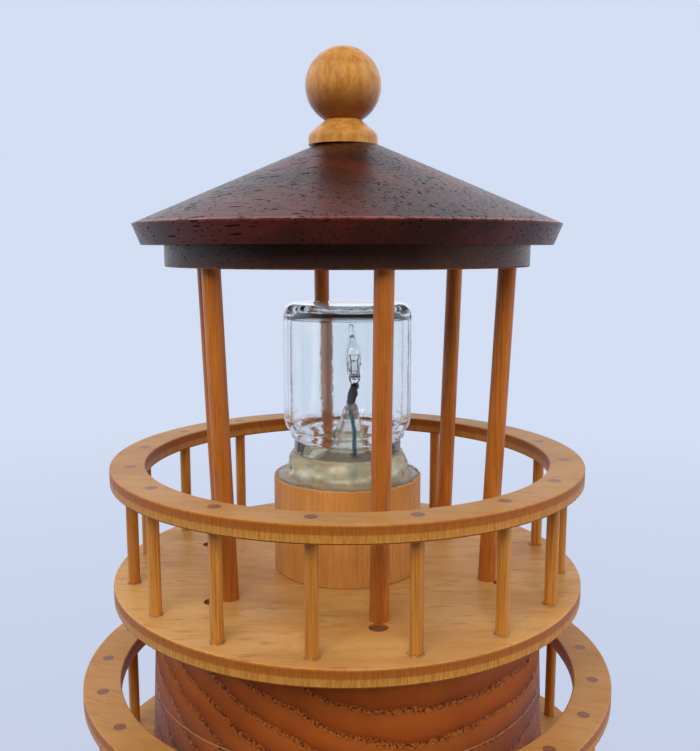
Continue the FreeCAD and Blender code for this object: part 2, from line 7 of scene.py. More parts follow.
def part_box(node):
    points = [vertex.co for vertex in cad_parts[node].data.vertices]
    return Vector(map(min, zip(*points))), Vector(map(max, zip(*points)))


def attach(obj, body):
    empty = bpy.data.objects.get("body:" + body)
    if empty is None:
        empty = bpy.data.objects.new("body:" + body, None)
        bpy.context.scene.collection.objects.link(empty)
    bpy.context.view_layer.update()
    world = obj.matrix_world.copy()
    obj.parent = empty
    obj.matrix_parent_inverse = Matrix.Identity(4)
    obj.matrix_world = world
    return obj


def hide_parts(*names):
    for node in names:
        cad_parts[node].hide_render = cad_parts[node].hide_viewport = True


# Turned wooden model lighthouse: plywood galleries on dowel balusters, a small bulb under an
# upturned glass jar, and a dark roof on six posts. Metres; +Z is up and the front is -Y.

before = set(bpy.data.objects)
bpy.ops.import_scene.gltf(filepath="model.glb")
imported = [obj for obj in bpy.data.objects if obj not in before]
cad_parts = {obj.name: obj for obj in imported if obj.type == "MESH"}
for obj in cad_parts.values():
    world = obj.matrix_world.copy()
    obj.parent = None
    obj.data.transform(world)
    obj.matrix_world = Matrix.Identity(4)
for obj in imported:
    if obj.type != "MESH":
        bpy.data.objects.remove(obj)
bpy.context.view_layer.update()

MM = 0.001
DECK_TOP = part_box("upper_deck")[1].z
PLY = DECK_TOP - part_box("upper_deck")[0].z
PEDESTAL_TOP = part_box("lamp_pedestal")[1].z
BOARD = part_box("tower_board_1")[1].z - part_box("tower_board_1")[0].z
TOWER_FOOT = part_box("base_plinth")[1].z

# Sizes of the part in millimetres, which its nodes' boxes don't show
BULB_OFFSET = 1.8
EAVE_HEIGHT = 10.8

# Leans of the bulb and of the wrap below it, sideways per millimetre up
BULB_LEAN = (-0.06, 0)
WRAP_LEAN = (0.26, 0)

# Camera, measured from the tower's axis and the upper deck; angles in radians
CAMERA_DISTANCE = 0.4797
CAMERA_ABOVE_DECK = 0.1777
CAMERA_TILT = 0.144
CAMERA_TURN = -0.003
LENS = 41.8
SENSOR_WIDTH = 36

# Stage
BACKDROP = (0.655, 0.735, 0.905, 1)
BACKDROP_LOW = (0.56, 0.62, 0.79, 1)
SKY = (0.88, 0.93, 1.04, 1)
FLOOR = (0.62, 0.68, 0.8, 1)
FLOOR_IN_REFLECTIONS = (0.14, 0.14, 0.15, 1)
FLOOR_RADIUS = 8

# Distances in millimetres over which the floor takes on the low backdrop's colour, then the high
# one's, and over which it does so for all rays behind the object
NEAR_FADE = (200.0, 600.0)
FAR_FADE = (500.0, 2500.0)
BEHIND_FADE = (-800.0, 200.0)


# Node building

def tone(red, green, blue):
    """A display colour, 0 to 255, as the linear colour that a shader takes."""
    def linear(level):
        level /= 255
        return level / 12.92 if level <= 0.04045 else ((level + 0.055) / 1.055) ** 2.4
    return (linear(red), linear(green), linear(blue), 1.0)


class Nodes:
    """Short ways to add nodes to one node tree."""

    def __init__(self, tree):
        self.tree = tree

    def node(self, kind, inputs=None, **settings):
        made = self.tree.nodes.new(kind)
        for name, value in settings.items():
            setattr(made, name, value)
        for socket, value in (inputs or {}).items():
            self.feed(value, made.inputs[socket])
        return made

    def feed(self, value, socket):
        if isinstance(value, bpy.types.NodeSocket):
            self.tree.links.new(value, socket)
        else:
            socket.default_value = value

    def vector(self, operation, first, second=None, scale=None):
        made = self.node("ShaderNodeVectorMath", {0: first}, operation=operation)
        if second is not None:
            self.feed(second, made.inputs[1])
        if scale is not None:
            made.inputs["Scale"].default_value = scale
        return made.outputs["Value" if operation in ("LENGTH", "DOT_PRODUCT") else "Vector"]

    def maths(self, operation, first, second=0.0, third=0.0):
        inputs = {0: first, 1: second, 2: third}
        return self.node("ShaderNodeMath", inputs, operation=operation).outputs[0]

    def turned(self, place, tilt=(0, 0, 0), shift=(0, 0, 0)):
        """The place turned by tilt, in degrees, after a shift in millimetres."""
        moved = self.vector("ADD", place, shift)
        angles = [math.radians(angle) for angle in tilt]
        made = self.node("ShaderNodeMapping", {"Vector": moved, "Rotation": angles})
        return made.outputs["Vector"]

    def noise(self, place, scale, detail=2.0, roughness=0.5, stretch=(1, 1, 1)):
        stretched = self.vector("MULTIPLY", place, stretch)
        inputs = {"Vector": stretched, "Scale": scale, "Detail": detail, "Roughness": roughness}
        return self.node("ShaderNodeTexNoise", inputs).outputs["Fac"]

    def cells(self, place, scale, stretch=(1, 1, 1)):
        """Distance to the nearest of scattered points."""
        stretched = self.vector("MULTIPLY", place, stretch)
        made = self.node("ShaderNodeTexVoronoi", {"Vector": stretched, "Scale": scale})
        return made.outputs["Distance"]

    def step(self, value, low, high, start=0.0, end=1.0):
        """A smooth step from start at low to end at high."""
        inputs = {"Value": value, "From Min": low, "From Max": high, "To Min": start, "To Max": end}
        made = self.node("ShaderNodeMapRange", inputs, interpolation_type="SMOOTHSTEP")
        return made.outputs["Result"]

    def ramp(self, factor, stops):
        made = self.node("ShaderNodeValToRGB", {"Fac": factor})
        elements = made.color_ramp.elements
        while len(elements) < len(stops):
            elements.new(0.5)
        for element, (position, colour) in zip(elements, stops):
            element.position = position
            element.color = colour
        return made.outputs["Color"]

    def mix(self, factor, first, second, blend="MIX"):
        made = self.node("ShaderNodeMix", data_type="RGBA", blend_type=blend)
        self.feed(factor, made.inputs[0])
        self.feed(first, made.inputs[6])
        self.feed(second, made.inputs[7])
        return made.outputs[2]

    def split(self, place):
        """The three parts of a place, by the names X, Y and Z."""
        return self.node("ShaderNodeSeparateXYZ", {0: place}).outputs

    def seen_directly(self):
        """1 for rays from the camera, also through glass, and 0 for all others."""
        rays = self.node("ShaderNodeLightPath").outputs
        return self.maths("MAXIMUM", rays["Is Camera Ray"], rays["Is Transmission Ray"])


class Shade(Nodes):
    """One node material. Lengths in its textures are millimetres."""

    def __init__(self, name, **surface):
        self.material = bpy.data.materials.new(name)
        self.material.use_nodes = True
        super().__init__(self.material.node_tree)
        self.shader = self.tree.nodes["Principled BSDF"]
        for socket, value in surface.items():
            self.shader.inputs[socket.replace("_", " ")].default_value = value
        coordinates = self.node("ShaderNodeTexCoord")
        self.place = self.vector("SCALE", coordinates.outputs["Object"], scale=1 / MM)
        self.normal = coordinates.outputs["Normal"]

    def facing_up_or_down(self):
        """1 on level faces, 0 on upright ones."""
        return self.maths("ABSOLUTE", self.split(self.normal)["Z"])

    def rings(self, place, centre, gap, wobble):
        """Growth rings round an axis along Y: position in the ring, 0 to 1."""
        across = self.vector("MULTIPLY", self.vector("SUBTRACT", place, centre), (1, 0, 1))
        radius = self.vector("LENGTH", across)
        waves = self.noise(place, 0.012, 3, 0.55, (1, 0.3, 1))
        shifted = self.maths("MULTIPLY_ADD", waves, wobble, radius)
        return self.maths("FRACT", self.maths("DIVIDE", shifted, gap))

    def finish(self, colour, height=None, depth=0.1, roughness=None):
        """Connect colour, relief of a given depth in millimetres, and roughness."""
        self.feed(colour, self.shader.inputs["Base Color"])
        if roughness is not None:
            self.feed(roughness, self.shader.inputs["Roughness"])
        if height is not None:
            inputs = {"Height": height, "Distance": depth * MM, "Strength": 1.0}
            bump = self.node("ShaderNodeBump", inputs)
            self.feed(bump.outputs["Normal"], self.shader.inputs["Normal"])
        return self.material


VARNISH = {"Coat_Weight": 0.12, "Coat_Roughness": 0.2, "Specular_IOR_Level": 0.3, "Roughness": 0.42}


# Woods

def tower_wood():
    """Varnished ring-porous boards, end grain to the front, with a pale glue line between boards."""
    shade = Shade("tower_wood", Specular_IOR_Level=0.14, Coat_Weight=0.05, Coat_Roughness=0.2)
    parts = shade.split(shade.place)
    level = shade.maths("DIVIDE", shade.maths("SUBTRACT", parts["Z"], TOWER_FOOT / MM), BOARD / MM)
    board = shade.maths("FLOOR", level)
    chance = shade.node("ShaderNodeTexWhiteNoise", {"W": board}, noise_dimensions="1D")
    shift = shade.vector("MULTIPLY", chance.outputs["Color"], (60, 40, 0))
    place = shade.vector("ADD", shade.turned(shade.place, (-7, 0, 4)), shift)
    height = shade.maths("MULTIPLY", board, BOARD / MM)
    centre = shade.node("ShaderNodeCombineXYZ", {"X": 110.0, "Z": shade.maths("ADD", height, 320.0)})
    ring = shade.rings(place, centre.outputs[0], 13.0, 24.0)
    fibre = shade.noise(place, 1.1, 4, 0.6, (1, 0.04, 1))
    cloud = shade.noise(place, 0.02, 3, 0.5, (1, 0.4, 1))
    band = shade.maths("MULTIPLY", shade.step(ring, 0.0, 0.05), shade.step(ring, 0.12, 0.32, 1.0, 0.0))
    pore = shade.noise(place, 0.85, 3, 0.75, (1, 0.05, 1))
    pits = shade.maths("MULTIPLY", shade.step(pore, 0.52, 0.6), band)
    # Light specks beside the pores: partly torn fibre, partly painted highlights
    fibre_and_highlight_specks = shade.maths("MULTIPLY", shade.step(pore, 0.46, 0.38), band)
    colour = shade.ramp(ring, [(0.0, tone(124, 58, 20)), (0.12, tone(168, 92, 36)),
                               (0.5, tone(170, 88, 32)), (0.9, tone(146, 68, 22)),
                               (1.0, tone(120, 52, 16))])
    colour = shade.mix(shade.step(fibre, 0.3, 0.75, 0.0, 0.35), colour, tone(172, 92, 36))
    colour = shade.mix(shade.step(cloud, 0.35, 0.7, 0.0, 0.5), colour, tone(108, 48, 16))
    colour = shade.mix(shade.maths("MULTIPLY", pits, 0.85), colour, tone(48, 14, 5))
    # Lighten those specks: torn fibre and painted highlights
    colour = shade.mix(shade.maths("MULTIPLY", fibre_and_highlight_specks, 0.5), colour, tone(198, 130, 70))
    dim = shade.maths("MULTIPLY", chance.outputs["Value"], 0.2)
    colour = shade.mix(dim, colour, tone(80, 34, 20))
    edge = shade.maths("ABSOLUTE", shade.maths("SUBTRACT", shade.maths("FRACT", level), 0.5))
    seam = shade.step(edge, 0.493, 0.4985)
    colour = shade.mix(shade.maths("MULTIPLY", seam, 0.7), colour, tone(216, 164, 112))
    relief = shade.maths("SUBTRACT", shade.maths("MULTIPLY", fibre, 0.25), pits)
    rough = shade.step(pore, 0.35, 0.65, 0.34, 0.55)
    return shade.finish(colour, relief, 0.3, rough)


def plywood(node, grain_turn, stain):
    """Light veneer with the grain about along X; the edge shows its plies, the upper ones darker.

    The grain is turned by grain_turn degrees, so that no two sheets show the same figure.
    """
    shade = Shade(f"plywood_{node}", Specular_IOR_Level=0.14)
    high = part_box(node)[1]
    place = shade.turned(shade.place, (0, 0, 90 + grain_turn), (0, 0, grain_turn))
    long_waves = shade.noise(place, 0.03, 4, 0.6, (1, 0.18, 1))
    figure = shade.maths("FRACT", shade.maths("MULTIPLY", long_waves, 7.0))
    fibre = shade.noise(place, 1.6, 4, 0.65, (1, 0.05, 1))
    flecks = shade.noise(place, 0.5, 2, 0.6, (1, 0.12, 1))
    patches = shade.noise(place, 0.04, 3, 0.55, (1, 0.35, 1))
    face = shade.ramp(figure, [(0.0, tone(211, 159, 91)), (0.7, tone(207, 153, 85)),
                               (0.93, tone(197, 141, 74)), (1.0, tone(210, 156, 89))])
    face = shade.mix(shade.step(fibre, 0.35, 0.7, 0.0, 0.45), face, tone(221, 173, 107))
    face = shade.mix(shade.step(patches, 0.38, 0.66, 0.0, 0.5), face, tone(180, 118, 50))
    face = shade.mix(shade.step(flecks, 0.6, 0.72, 0.0, 0.5), face, tone(140, 82, 32))
    face = shade.mix(stain, face, tone(140, 82, 32))
    parts = shade.split(shade.place)
    depth = shade.maths("SUBTRACT", high.z / MM, parts["Z"])
    cross = shade.noise(shade.place, 1.1, 3, 0.6, (1, 1, 0.12))
    plies = shade.ramp(shade.maths("DIVIDE", depth, PLY / MM), [
        (0.0, tone(190, 118, 48)), (0.11, tone(180, 102, 36)), (0.14, tone(156, 90, 32)),
        (0.5, tone(164, 98, 38)), (0.54, tone(190, 130, 58)), (0.9, tone(196, 138, 62)),
        (0.93, tone(106, 52, 18)), (1.0, tone(156, 96, 42))])
    plies = shade.mix(shade.step(cross, 0.35, 0.7, 0.0, 0.5), plies, tone(124, 66, 24))
    upright = shade.split(shade.normal)["Z"]
    # Painted shade: upward faces below the top surface, the floors of the locating holes, are darkened
    recess_shade = shade.maths("MULTIPLY", shade.step(depth, 0.3, 0.8), shade.step(upright, 0.4, 0.8))
    face = shade.mix(recess_shade, face, tone(122, 80, 58))
    colour = shade.mix(shade.step(shade.facing_up_or_down(), 0.45, 0.8), plies, face)
    relief = shade.maths("ADD", fibre, shade.maths("MULTIPLY", cross, 0.6))
    return shade.finish(colour, relief, 0.06, shade.step(fibre, 0.3, 0.7, 0.36, 0.5))


def dowel(name, light, dark, ends):
    """Round dowel with fine upright grain; each dowel differs a little and its ends are darker."""
    shade = Shade(name, **VARNISH)
    patch = shade.noise(shade.vector("MULTIPLY", shade.place, (1, 1, 0.02)), 0.045, 1)
    streak = shade.noise(shade.place, 1.3, 4, 0.6, (1, 1, 0.02))
    broad = shade.noise(shade.place, 0.35, 3, 0.6, (1, 1, 0.06))
    pore = shade.noise(shade.place, 2.6, 2, 0.6, (1, 1, 0.05))
    colour = shade.mix(shade.step(streak, 0.3, 0.7), light, dark)
    colour = shade.mix(shade.step(broad, 0.4, 0.65, 0.0, 0.5), colour, light)
    colour = shade.mix(shade.step(patch, 0.42, 0.58, 0.0, 0.35), colour, dark)
    colour = shade.mix(shade.step(pore, 0.6, 0.7, 0.0, 0.35), colour, ends)
    colour = shade.mix(shade.step(shade.facing_up_or_down(), 0.8, 0.95, 0.0, 0.85), colour, ends)
    return shade.finish(colour, streak, 0.05, shade.step(streak, 0.3, 0.7, 0.34, 0.48))


def roof_wood(name, light, dark, sheen, openness, worn_edge):
    """Dark satin wood whose open pores show as black dashes along the grain.

    Openness is how strongly the pores show; the rim at the height worn_edge is rubbed lighter.
    """
    shade = Shade(name, Specular_IOR_Level=sheen)
    place = shade.turned(shade.place, (8, 0, 120))
    fibre = shade.noise(place, 0.9, 4, 0.65, (1, 0.04, 1))
    cloud = shade.noise(place, 0.03, 3, 0.55, (1, 0.35, 1))
    long_pores = shade.cells(place, 0.42, (1, 0.1, 1))
    short_pores = shade.cells(place, 0.75, (1, 0.3, 1))
    crowd = shade.noise(place, 0.05, 2, 0.5)
    longs = shade.maths("MULTIPLY", shade.step(long_pores, 0.24, 0.15), shade.step(crowd, 0.44, 0.5))
    shorts = shade.maths("MULTIPLY", shade.step(short_pores, 0.26, 0.18), shade.step(crowd, 0.62, 0.5))
    pits = shade.maths("MULTIPLY", shade.maths("MAXIMUM", longs, shorts), openness)
    colour = shade.mix(shade.step(cloud, 0.34, 0.66), light, dark)
    colour = shade.mix(shade.step(fibre, 0.3, 0.7, 0.0, 0.5), colour, dark)
    off_edge = shade.maths("ABSOLUTE", shade.maths("SUBTRACT", shade.split(shade.place)["Z"], worn_edge))
    chips = shade.noise(shade.place, 0.25, 4, 0.7)
    wear = shade.maths("MULTIPLY", shade.step(off_edge, 1.1, 0.1), shade.step(chips, 0.4, 0.6, 0.2, 0.9))
    wear = shade.maths("MULTIPLY", wear, shade.step(shade.facing_up_or_down(), 0.99, 0.95))
    colour = shade.mix(wear, colour, tone(150, 78, 56))
    colour = shade.mix(shade.maths("MULTIPLY", pits, 0.9), colour, tone(14, 6, 6))
    relief = shade.maths("SUBTRACT", shade.maths("MULTIPLY", fibre, 0.12), pits)
    smooth = shade.step(fibre, 0.3, 0.7, 0.29, 0.4)
    rough = shade.maths("MULTIPLY_ADD", pits, 0.6, smooth)
    return shade.finish(colour, relief, 0.3, rough)


def finial_wood():
    """Pale mottled close-grained wood, glossy, with the grain upright, and painted shade on its downward
    faces.
    """
    shade = Shade("finial_wood", **VARNISH)
    mottle = shade.noise(shade.place, 0.22, 4, 0.65, (1, 1, 0.45))
    streak = shade.noise(shade.place, 0.9, 4, 0.6, (1, 1, 0.1))
    pore = shade.noise(shade.place, 1.8, 2, 0.6, (1, 1, 0.3))
    colour = shade.mix(shade.step(mottle, 0.3, 0.7), tone(208, 152, 74), tone(176, 112, 46))
    colour = shade.mix(shade.step(streak, 0.4, 0.7, 0.0, 0.35), colour, tone(156, 90, 32))
    colour = shade.mix(shade.step(pore, 0.6, 0.7, 0.0, 0.35), colour, tone(116, 60, 20))
    # Painted shade: faces that look down are darkened towards a deep brown
    underside_shade = shade.step(shade.split(shade.normal)["Z"], 0.1, -0.7, 0.0, 0.75)
    colour = shade.mix(underside_shade, colour, tone(112, 46, 16))
    return shade.finish(colour, streak, 0.05, shade.step(mottle, 0.3, 0.7, 0.3, 0.42))


def pedestal_wood():
    """Smooth tan block with faint upright grain and fine specks."""
    shade = Shade("pedestal_wood", Coat_Weight=0.1, Coat_Roughness=0.3, Roughness=0.5, Specular_IOR_Level=0.3)
    cloud = shade.noise(shade.place, 0.05, 3, 0.5, (1, 1, 0.4))
    streak = shade.noise(shade.place, 0.9, 4, 0.65, (1, 1, 0.05))
    speck = shade.noise(shade.place, 1.9, 2, 0.6, (1, 1, 0.25))
    colour = shade.mix(shade.step(cloud, 0.35, 0.65), tone(214, 152, 80), tone(200, 136, 66))
    colour = shade.mix(shade.step(streak, 0.35, 0.7, 0.0, 0.45), colour, tone(166, 102, 54))
    colour = shade.mix(shade.step(speck, 0.62, 0.72, 0.0, 0.4), colour, tone(134, 78, 40))
    return shade.finish(colour, speck, 0.06, shade.step(streak, 0.3, 0.7, 0.46, 0.6))


def plinth_wood():
    """Varnished board with long open grain across the base."""
    shade = Shade("plinth_wood", **VARNISH)
    place = shade.turned(shade.place, (4, 0, 90))
    ring = shade.rings(place, (40, 0, -160), 9.0, 26.0)
    fibre = shade.noise(place, 0.9, 4, 0.6, (1, 0.04, 1))
    pore = shade.noise(place, 1.3, 3, 0.7, (1, 0.05, 1))
    pits = shade.maths("MULTIPLY", shade.step(pore, 0.56, 0.62), shade.step(ring, 0.4, 0.1))
    colour = shade.ramp(ring, [(0.0, tone(150, 78, 32)), (0.6, tone(136, 66, 26)),
                               (0.95, tone(104, 46, 20)), (1.0, tone(146, 76, 32))])
    colour = shade.mix(shade.step(fibre, 0.3, 0.7, 0.0, 0.4), colour, tone(168, 96, 46))
    colour = shade.mix(pits, colour, tone(62, 24, 12))
    return shade.finish(colour, shade.maths("SUBTRACT", fibre, pits), 0.15)


# Other materials

def clear_glass(name, tint, waviness, bending=1.5):
    """Clear glass with the faint waves of a moulded or drawn surface."""
    shade = Shade(name, Transmission_Weight=1.0, IOR=bending, Roughness=0.0)
    waves = shade.noise(shade.place, 0.08, 2, 0.5, (1, 1, 0.6))
    ripple = shade.noise(shade.place, 0.6, 2, 0.5, (1, 1, 1.4))
    height = shade.maths("MULTIPLY_ADD", ripple, 0.3, waves)
    dust = shade.noise(shade.place, 0.8, 3, 0.6)
    rough = shade.step(dust, 0.5, 0.8, 0.0, 0.05)
    return shade.finish(shade.mix(shade.step(waves, 0.3, 0.7), tint, (1, 1, 1, 1)), height, waviness, rough)


def tint_by_depth(glass, colour, density):
    """Let glass take on a tint where one looks through a lot of it, as at the sides of a jar."""
    tree = glass.node_tree
    absorption = tree.nodes.new("ShaderNodeVolumeAbsorption")
    absorption.inputs["Color"].default_value = colour
    absorption.inputs["Density"].default_value = density
    tree.links.new(absorption.outputs["Volume"], tree.nodes["Material Output"].inputs["Volume"])


def hot_glue(name, milk, bending, yellowing):
    """Set hot glue: milky and translucent, with a soft lumpy gloss; it yellows with age."""
    shade = Shade(name, Transmission_Weight=1.0 - milk, IOR=bending, Subsurface_Weight=1.0)
    shade.shader.inputs["Subsurface Scale"].default_value = 4 * MM
    shade.shader.inputs["Subsurface Radius"].default_value = (1.0, 0.85, 0.7)
    cloud = shade.noise(shade.place, 0.16, 3, 0.6)
    ripple = shade.noise(shade.place, 0.18, 2, 0.5)
    fresh = shade.mix(shade.step(cloud, 0.35, 0.65), tone(252, 250, 246), tone(240, 238, 232))
    aged = shade.mix(shade.step(cloud, 0.35, 0.65), tone(250, 240, 212), tone(240, 222, 178))
    colour = shade.mix(yellowing, fresh, aged)
    return shade.finish(colour, ripple, 0.4, shade.step(cloud, 0.3, 0.7, 0.08, 0.25))


def lead_metal():
    """Tarnished grey metal."""
    shade = Shade("lead_metal", Metallic=1.0)
    tarnish = shade.noise(shade.place, 2.0, 3, 0.6)
    colour = shade.mix(shade.step(tarnish, 0.35, 0.65), tone(112, 106, 106), tone(58, 52, 54))
    return shade.finish(colour, tarnish, 0.02, shade.step(tarnish, 0.3, 0.7, 0.25, 0.45))


def black_sleeve():
    """Creased black tape."""
    shade = Shade("black_sleeve")
    crease = shade.noise(shade.place, 0.9, 3, 0.6, (1, 1, 2))
    colour = shade.mix(shade.step(crease, 0.35, 0.7), tone(26, 26, 28), tone(48, 47, 48))
    return shade.finish(colour, crease, 0.25, shade.step(crease, 0.3, 0.7, 0.4, 0.6))


def wire_plastic():
    """Teal plastic insulation with faint scuffs."""
    shade = Shade("wire_plastic")
    scuff = shade.noise(shade.place, 1.2, 3, 0.6, (1, 1, 0.4))
    colour = shade.mix(shade.step(scuff, 0.3, 0.7), tone(18, 92, 118), tone(34, 118, 140))
    return shade.finish(colour, scuff, 0.03, shade.step(scuff, 0.3, 0.7, 0.28, 0.42))


def green_felt():
    """Fuzzy green felt."""
    shade = Shade("green_felt", Sheen_Weight=0.2, Sheen_Roughness=0.5)
    fuzz = shade.noise(shade.place, 2.2, 5, 0.75)
    colour = shade.mix(shade.step(fuzz, 0.3, 0.7), tone(26, 62, 40), tone(48, 92, 60))
    return shade.finish(colour, fuzz, 0.5, shade.step(fuzz, 0.3, 0.7, 0.85, 1.0))


def black_rubber():
    """Matt black rubber."""
    shade = Shade("black_rubber")
    grain = shade.noise(shade.place, 1.8, 4, 0.6)
    colour = shade.mix(shade.step(grain, 0.3, 0.7), tone(24, 24, 25), tone(42, 42, 43))
    return shade.finish(colour, grain, 0.08, shade.step(grain, 0.3, 0.7, 0.55, 0.75))


# Mesh pieces

def arc(across, up, radius, start, end, count=8):
    """Points of an arc in an outline; angles in degrees from outwards, anticlockwise."""
    points = []
    for index in range(count + 1):
        angle = math.radians(start + (end - start) * index / count)
        points.append((across + radius * math.cos(angle), up + radius * math.sin(angle)))
    return points


def add_piece(name, mesh):
    """A smooth object of a mesh, in the scene."""
    mesh.polygons.foreach_set("use_smooth", [True] * len(mesh.polygons))
    piece = bpy.data.objects.new(name, mesh)
    bpy.context.scene.collection.objects.link(piece)
    return piece


def turn(name, outline, base, segments=128, lumps=0.0, lump_size=6.0, firm=0.0, lean=(0, 0)):
    """Turn a (radius, height) outline in millimetres about the axis above base.

    Lumps push points beyond the firm radius in or out; lean shifts the axis per millimetre up.
    """
    vertices, faces, rows = [], [], []
    for radius, height in outline:
        row = []
        for step in range(segments if radius > 0 else 1):
            angle = math.tau * step / segments
            out = Vector((math.sin(angle), -math.cos(angle), 0))
            point = out * radius + Vector((lean[0] * height, lean[1] * height, height))
            if lumps and radius > firm:
                point += out * lumps * noise.noise(point / lump_size)
            row.append(len(vertices))
            vertices.append(base + point * MM)
        rows.append(row)
    for low, high in zip(rows, rows[1:] + rows[:1]):
        for step in range(segments):
            following = (step + 1) % segments
            corners = [low[step % len(low)], low[following % len(low)],
                       high[following % len(high)], high[step % len(high)]]
            corners = list(dict.fromkeys(corners))
            if len(corners) > 2:
                faces.append(corners)
    mesh = bpy.data.meshes.new(name)
    mesh.from_pydata(vertices, [], faces)
    mesh.validate()
    return add_piece(name, mesh)


def tube(name, routes, radius, base):
    """Round wires along smooth routes of points in millimetres above base."""
    curve = bpy.data.curves.new(name, "CURVE")
    curve.dimensions = "3D"
    curve.bevel_depth = radius * MM
    curve.bevel_resolution = 4
    curve.use_fill_caps = True
    for route in routes:
        spline = curve.splines.new("NURBS")
        spline.points.add(len(route) - 1)
        for point, place in zip(spline.points, route):
            point.co = (*(base + Vector(place) * MM), 1.0)
        spline.order_u = 3
        spline.use_endpoint_u = True
        spline.resolution_u = 12
    made = bpy.data.objects.new(name, curve)
    mesh = bpy.data.meshes.new_from_object(made)
    bpy.data.objects.remove(made)
    return add_piece(name, mesh)


def stand_for(piece, node, body, material):
    """Let a finer piece stand for a CAD node."""
    piece.data.materials.append(material)
    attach(piece, body)
    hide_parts(node)


def make_jar():
    """Upturned moulded jar: rim, neck, rounded shoulder, straight wall and a thick hollowed floor."""
    low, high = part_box("glass_jar")
    radius = high.x / MM
    height = (high.z - low.z) / MM
    wall, neck, rim = 4.2, 29.8, 31.4
    outside = [(rim - 1, 0.1), (rim, 1.0), (rim, 7.5), (rim - 0.7, 9.2), (neck, 10.5), (neck, 18.5)]
    outside += arc(neck + 2.6, 19.5, 2.6, 180, 105, 5)
    outside += arc(radius - 8.5, 32.0, 8.5, -50, 0, 8)
    outside += arc(radius - 6, height - 6, 6, 0, 90, 10)
    outside += [(24, height - 0.2), (18, height - 0.7), (10, height - 0.9), (0, height - 1.0)]
    inside = [(0, height - 4.6), (14, height - 4.6), (22, height - 4.7)]
    inside += arc(radius - wall - 5, height - 9.7, 5, 90, 0, 8)
    inside += arc(radius - wall - 7, 32.0, 7, 0, -45, 6)
    inside += [(neck - wall + 1.2, 21.5), (neck - wall, 18.5), (neck - wall, 0.1)]
    jar = turn("jar_glass", outside + inside, Vector((0, 0, low.z)), 160)
    glass = clear_glass("jar_glass", tone(246, 251, 249), 0.1, bending=1.44)
    tint_by_depth(glass, (0.72, 0.8, 0.77, 1), 14)
    stand_for(jar, "glass_jar", "tower", glass)


def make_glue(material, clearer):
    """Lumpy bead round the jar's rim, and the cone that holds the wires up inside the jar."""
    base = Vector((0, 0, PEDESTAL_TOP))
    bead = [(31.5, 0.05), (40.0, 0.05), (40.0, 0.25), (37.6, 0.5), (35.8, 1.0), (34.4, 2.2),
            (33.6, 4.2), (33.2, 6.6), (32.7, 8.8), (31.9, 11.0), (31.1, 12.8), (30.1, 13.6), (30.0, 12.5),
            (30.0, 11.0), (31.5, 9.4)]
    ring = turn("glue_bead", bead, base, 200, lumps=1.5, lump_size=4.5, firm=31.6)
    stand_for(ring, "jar_glue", "tower", material)
    cone = [(0, 0.05), (25.6, 0.05), (25.4, 3.6), (20, 5.2), (13.5, 8), (10.4, 14), (8.8, 21), (7.2, 27),
            (5.4, 32.5), (3.6, 37), (2.1, 40), (0, 41)]
    blob = turn("glue_cone", cone, base, 64, lumps=1.4, lump_size=8.0, lean=(0.05, 0))
    stand_for(blob, "wire_glue", "tower", clearer)


def make_foot_glue():
    """Thin clear smear of glue round the foot of each upper baluster."""
    outline = [(2.9, -0.3), (4.5, -0.3), (4.3, 0.1), (3.8, 0.35), (3.4, 0.7), (2.9, 0.9)]
    material = hot_glue("foot_glue", 0.1, 1.2, 1.0)
    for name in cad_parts:
        if name.startswith("upper_baluster"):
            low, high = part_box(name)
            foot = Vector(((low.x + high.x) / 2, (low.y + high.y) / 2, DECK_TOP))
            smear = turn(f"glue_{name}", outline, foot, 32, lumps=0.9, lump_size=3.5, firm=3.0)
            smear.data.materials.append(material)
            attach(smear, "tower")


def leaning_base(across, height, lean):
    """Foot on the deck of a leaning axis that passes through across at a height."""
    return Vector(((across - lean * height) * MM, 0, DECK_TOP))


def make_bulb_glass(base):
    """Glass envelope of a miniature bulb, drawn to a tip."""
    outside = [(0, 106.6), (2.6, 106.6), (3.6, 107.4), (4.0, 109), (4.05, 122.4), (3.85, 123.8),
               (3.2, 125.2), (2.4, 127.0), (1.9, 129.2), (1.65, 132.0), (1.6, 135.4), (1.1, 137.6), (0, 138)]
    inside = [(0, 131), (0.8, 130.4), (1.2, 129), (1.8, 126.8), (2.8, 124.8), (3.4, 123.4),
              (3.5, 122), (3.5, 110), (2.6, 108.8), (0, 108.6)]
    glass = turn("bulb_envelope", outside + inside, base, 48, lean=BULB_LEAN)
    material = clear_glass("bulb_glass", tone(238, 242, 242), 0.05)
    stand_for(glass, "bulb_glass", "tower", material)


def make_bulb_leads(base):
    """Two leads through the bulb's foot, held by cross pieces, and the coil between their tops."""
    metal = lead_metal()
    middle, coil_height, coil_length, coil_radius = 108, 119.8, 5, 0.35
    shift = BULB_LEAN[0] * middle
    routes = []
    for side in (-1, 1):
        routes.append([(side * across + shift, 0, height) for across, height in (
            (1.0, 102.6), (1.5, 104.0), (2.9, 106.0), (2.6, 107.0), (1.9, 107.8), (1.9, 110.5),
            (2.0, 114.0), (1.6, 116.2), (2.0, 117.8), (2.6, coil_height))])
    for height, half_width in ((108.3, 2.3), (116.3, 2.0), (106.3, 3.0)):
        routes.append([(shift - half_width, 0, height), (shift, 0, height), (shift + half_width, 0, height)])
    leads = tube("bulb_leads", routes, 0.36, base)
    stand_for(leads, "bulb_filament", "tower", metal)
    turns, points_per_turn = 7, 6
    coil = []
    for index in range(turns * points_per_turn + 1):
        along = index / (turns * points_per_turn)
        angle = math.tau * turns * along
        coil.append((shift - coil_length / 2 + coil_length * along, coil_radius * math.cos(angle),
                     coil_height + coil_radius * math.sin(angle)))
    filament = tube("bulb_coil", [coil], 0.07, base)
    filament.data.materials.append(metal)
    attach(filament, "tower")


